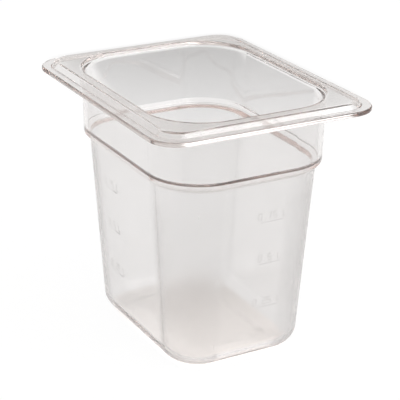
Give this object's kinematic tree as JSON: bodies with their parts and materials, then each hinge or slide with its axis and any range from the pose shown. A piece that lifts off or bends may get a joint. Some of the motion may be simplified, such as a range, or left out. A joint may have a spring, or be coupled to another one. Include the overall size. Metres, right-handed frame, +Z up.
{
  "type": "deli food pan",
  "caption": "Clear one-piece rectangular food pan with a stepped hanging rim, a shoulder below the rim and a tapered well with a litre scale.",
  "frame": {"origin": "middle of the underside, on the surface the pan stands on", "axes": "+Z up towards the opening, +X along the pan's long side, +Y along its short side"},
  "size_m": [0.1624, 0.1324, 0.15],
  "materials": {
    "clear_plastic": "clear polycarbonate, polished rim and collar, faintly frosted well",
    "moulded_marks": "the same clear plastic, raised from the wall"
  },
  "bodies": {
    "root": {"pan_body": "clear_plastic", "litre_scale_end": "moulded_marks", "litre_scale_side": "moulded_marks", "base_marks": "moulded_marks"}
  },
  "joints": []
}
